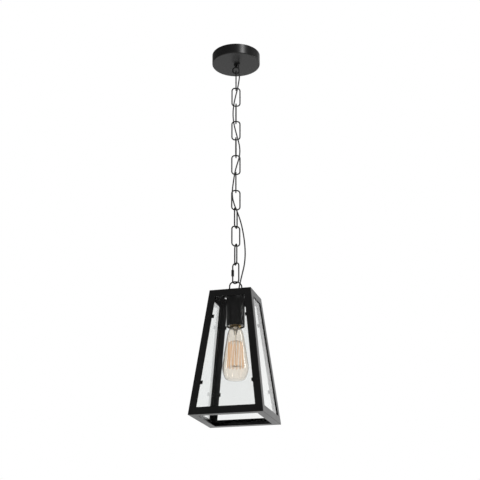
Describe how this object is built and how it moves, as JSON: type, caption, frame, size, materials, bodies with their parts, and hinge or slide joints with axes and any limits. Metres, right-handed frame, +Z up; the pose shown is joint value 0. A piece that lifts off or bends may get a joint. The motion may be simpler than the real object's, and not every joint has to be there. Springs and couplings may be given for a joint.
{
  "type": "hanging lantern",
  "caption": "Tapered square glass lantern in a black angle-steel frame, hung by a ring and link chain from a round ceiling canopy, with a woven supply cord and an exposed filament bulb.",
  "frame": {"origin": "centre of the ceiling bracket's slot pattern, on the ceiling plane, at the canopy's rim", "axes": "+Z up along the plumb line the lantern hangs on, -Y out of the lantern's front face"},
  "size_m": [0.1836, 0.1836, 1.001],
  "materials": {
    "black_metal": "matte black powder coat",
    "chain_metal": "satin black paint on wire",
    "zinc_steel": "zinc plated",
    "black_plastic": "moulded, matte",
    "white_plastic": "moulded, matte",
    "pane_glass": "clear flat glass",
    "bulb_glass": "clear blown glass",
    "brass": "plain rolled brass",
    "porcelain": "glazed",
    "lead_sleeve": "plain insulation",
    "support_wire": "drawn wire",
    "filament": "glowing carbon-style strand",
    "cord_jacket": "black woven jacket"
  },
  "bodies": {
    "canopy": {"ceiling_bracket": "zinc_steel", "canopy_shell": "black_metal", "canopy_eye": "chain_metal", "canopy_nut": "zinc_steel", "bracket_nut": "zinc_steel", "canopy_cord_bush": "black_plastic", "terminal_block": "white_plastic", "terminal_screws": "zinc_steel", "supply_cord": "cord_jacket"},
    "chain_link_01": {"chain_link_01": "chain_metal"},
    "chain_link_02": {"chain_link_02": "chain_metal"},
    "chain_link_03": {"chain_link_03": "chain_metal"},
    "chain_link_04": {"chain_link_04": "chain_metal"},
    "chain_link_05": {"chain_link_05": "chain_metal"},
    "chain_link_06": {"chain_link_06": "chain_metal"},
    "chain_link_07": {"chain_link_07": "chain_metal"},
    "chain_link_08": {"chain_link_08": "chain_metal"},
    "chain_link_09": {"chain_link_09": "chain_metal"},
    "chain_link_10": {"chain_link_10": "chain_metal"},
    "chain_link_11": {"chain_link_11": "chain_metal"},
    "quick_link": {"quick_link": "chain_metal"},
    "sleeve_nut": {"quick_link_sleeve": "chain_metal"},
    "lantern": {"lantern_loop": "chain_metal", "crossbar": "black_metal", "crossbar_screws": "black_metal", "crossbar_cord_bush": "black_plastic", "cup": "black_metal", "loop_nut": "zinc_steel", "holder_body": "porcelain", "holder_shell": "brass", "holder_contact": "brass", "holder_leads": "lead_sleeve", "post_front_left": "black_metal", "post_front_right": "black_metal", "post_back_right": "black_metal", "post_back_left": "black_metal", "top_rail_front": "black_metal", "top_rail_right": "black_metal", "top_rail_back": "black_metal", "top_rail_left": "black_metal", "bottom_rail_front": "black_metal", "bottom_rail_right": "black_metal", "bottom_rail_back": "black_metal", "bottom_rail_left": "black_metal", "pane_front": "pane_glass", "pane_right": "pane_glass", "pane_back": "pane_glass", "pane_left": "pane_glass", "glass_clips": "black_metal", "clip_screws": "black_metal", "clip_spacers": "black_metal"},
    "bulb": {"bulb_glass": "bulb_glass", "bulb_cap": "brass", "bulb_insulator": "black_plastic", "bulb_tip": "brass", "bulb_stem": "bulb_glass", "bulb_supports": "support_wire", "bulb_filament": "filament"}
  },
  "joints": [
    {"name": "link_01_swing", "type": "hinge", "parent": "canopy", "child": "chain_link_01", "pos_m": [0, 0, -0.054], "axis": [0.9636, 0.2672, 0], "range_deg": [-12, 12]},
    {"name": "link_02_swing", "type": "hinge", "parent": "chain_link_01", "child": "chain_link_02", "pos_m": [0, 0, -0.1041], "axis": [-0.2672, 0.9636, 0], "range_deg": [-12, 12]},
    {"name": "link_03_swing", "type": "hinge", "parent": "chain_link_02", "child": "chain_link_03", "pos_m": [0, 0, -0.1542], "axis": [0.9483, 0.3173, 0], "range_deg": [-12, 12]},
    {"name": "link_04_swing", "type": "hinge", "parent": "chain_link_03", "child": "chain_link_04", "pos_m": [0, 0, -0.2043], "axis": [-0.284, 0.9588, 0], "range_deg": [-12, 12]},
    {"name": "link_05_swing", "type": "hinge", "parent": "chain_link_04", "child": "chain_link_05", "pos_m": [0, 0, -0.2544], "axis": [0.9724, 0.2334, 0], "range_deg": [-12, 12]},
    {"name": "link_06_swing", "type": "hinge", "parent": "chain_link_05", "child": "chain_link_06", "pos_m": [0, 0, -0.3045], "axis": [-0.2334, 0.9724, 0], "range_deg": [-12, 12]},
    {"name": "link_07_swing", "type": "hinge", "parent": "chain_link_06", "child": "chain_link_07", "pos_m": [0, 0, -0.3546], "axis": [0.9537, 0.3007, 0], "range_deg": [-12, 12]},
    {"name": "link_08_swing", "type": "hinge", "parent": "chain_link_07", "child": "chain_link_08", "pos_m": [0, 0, -0.4047], "axis": [-0.2672, 0.9636, 0], "range_deg": [-12, 12]},
    {"name": "link_09_swing", "type": "hinge", "parent": "chain_link_08", "child": "chain_link_09", "pos_m": [0, 0, -0.4548], "axis": [0.9426, 0.3338, 0], "range_deg": [-12, 12]},
    {"name": "link_10_swing", "type": "hinge", "parent": "chain_link_09", "child": "chain_link_10", "pos_m": [0, 0, -0.5049], "axis": [0.0436, 0.999, 0], "range_deg": [-12, 12]},
    {"name": "link_11_swing", "type": "hinge", "parent": "chain_link_10", "child": "chain_link_11", "pos_m": [0, 0, -0.555], "axis": [0.8141, 0.5807, 0], "range_deg": [-12, 12]},
    {"name": "quick_link_swing", "type": "hinge", "parent": "chain_link_11", "child": "quick_link", "pos_m": [0, 0, -0.6051], "axis": [-0.4924, 0.8704, 0], "range_deg": [-12, 12]},
    {"name": "lantern_swing", "type": "hinge", "parent": "quick_link", "child": "lantern", "pos_m": [0, 0, -0.6551], "axis": [0.9239, -0.3827, 0], "range_deg": [-15, 15], "deforming": ["supply_cord"]},
    {"name": "sleeve_unscrew", "type": "slide", "parent": "quick_link", "child": "sleeve_nut", "axis": [0, 0, -1], "range_m": [0, 0.009]},
    {"name": "bulb_unscrew", "type": "slide", "parent": "lantern", "child": "bulb", "axis": [0, 0, -1], "range_m": [0, 0.036]}
  ]
}
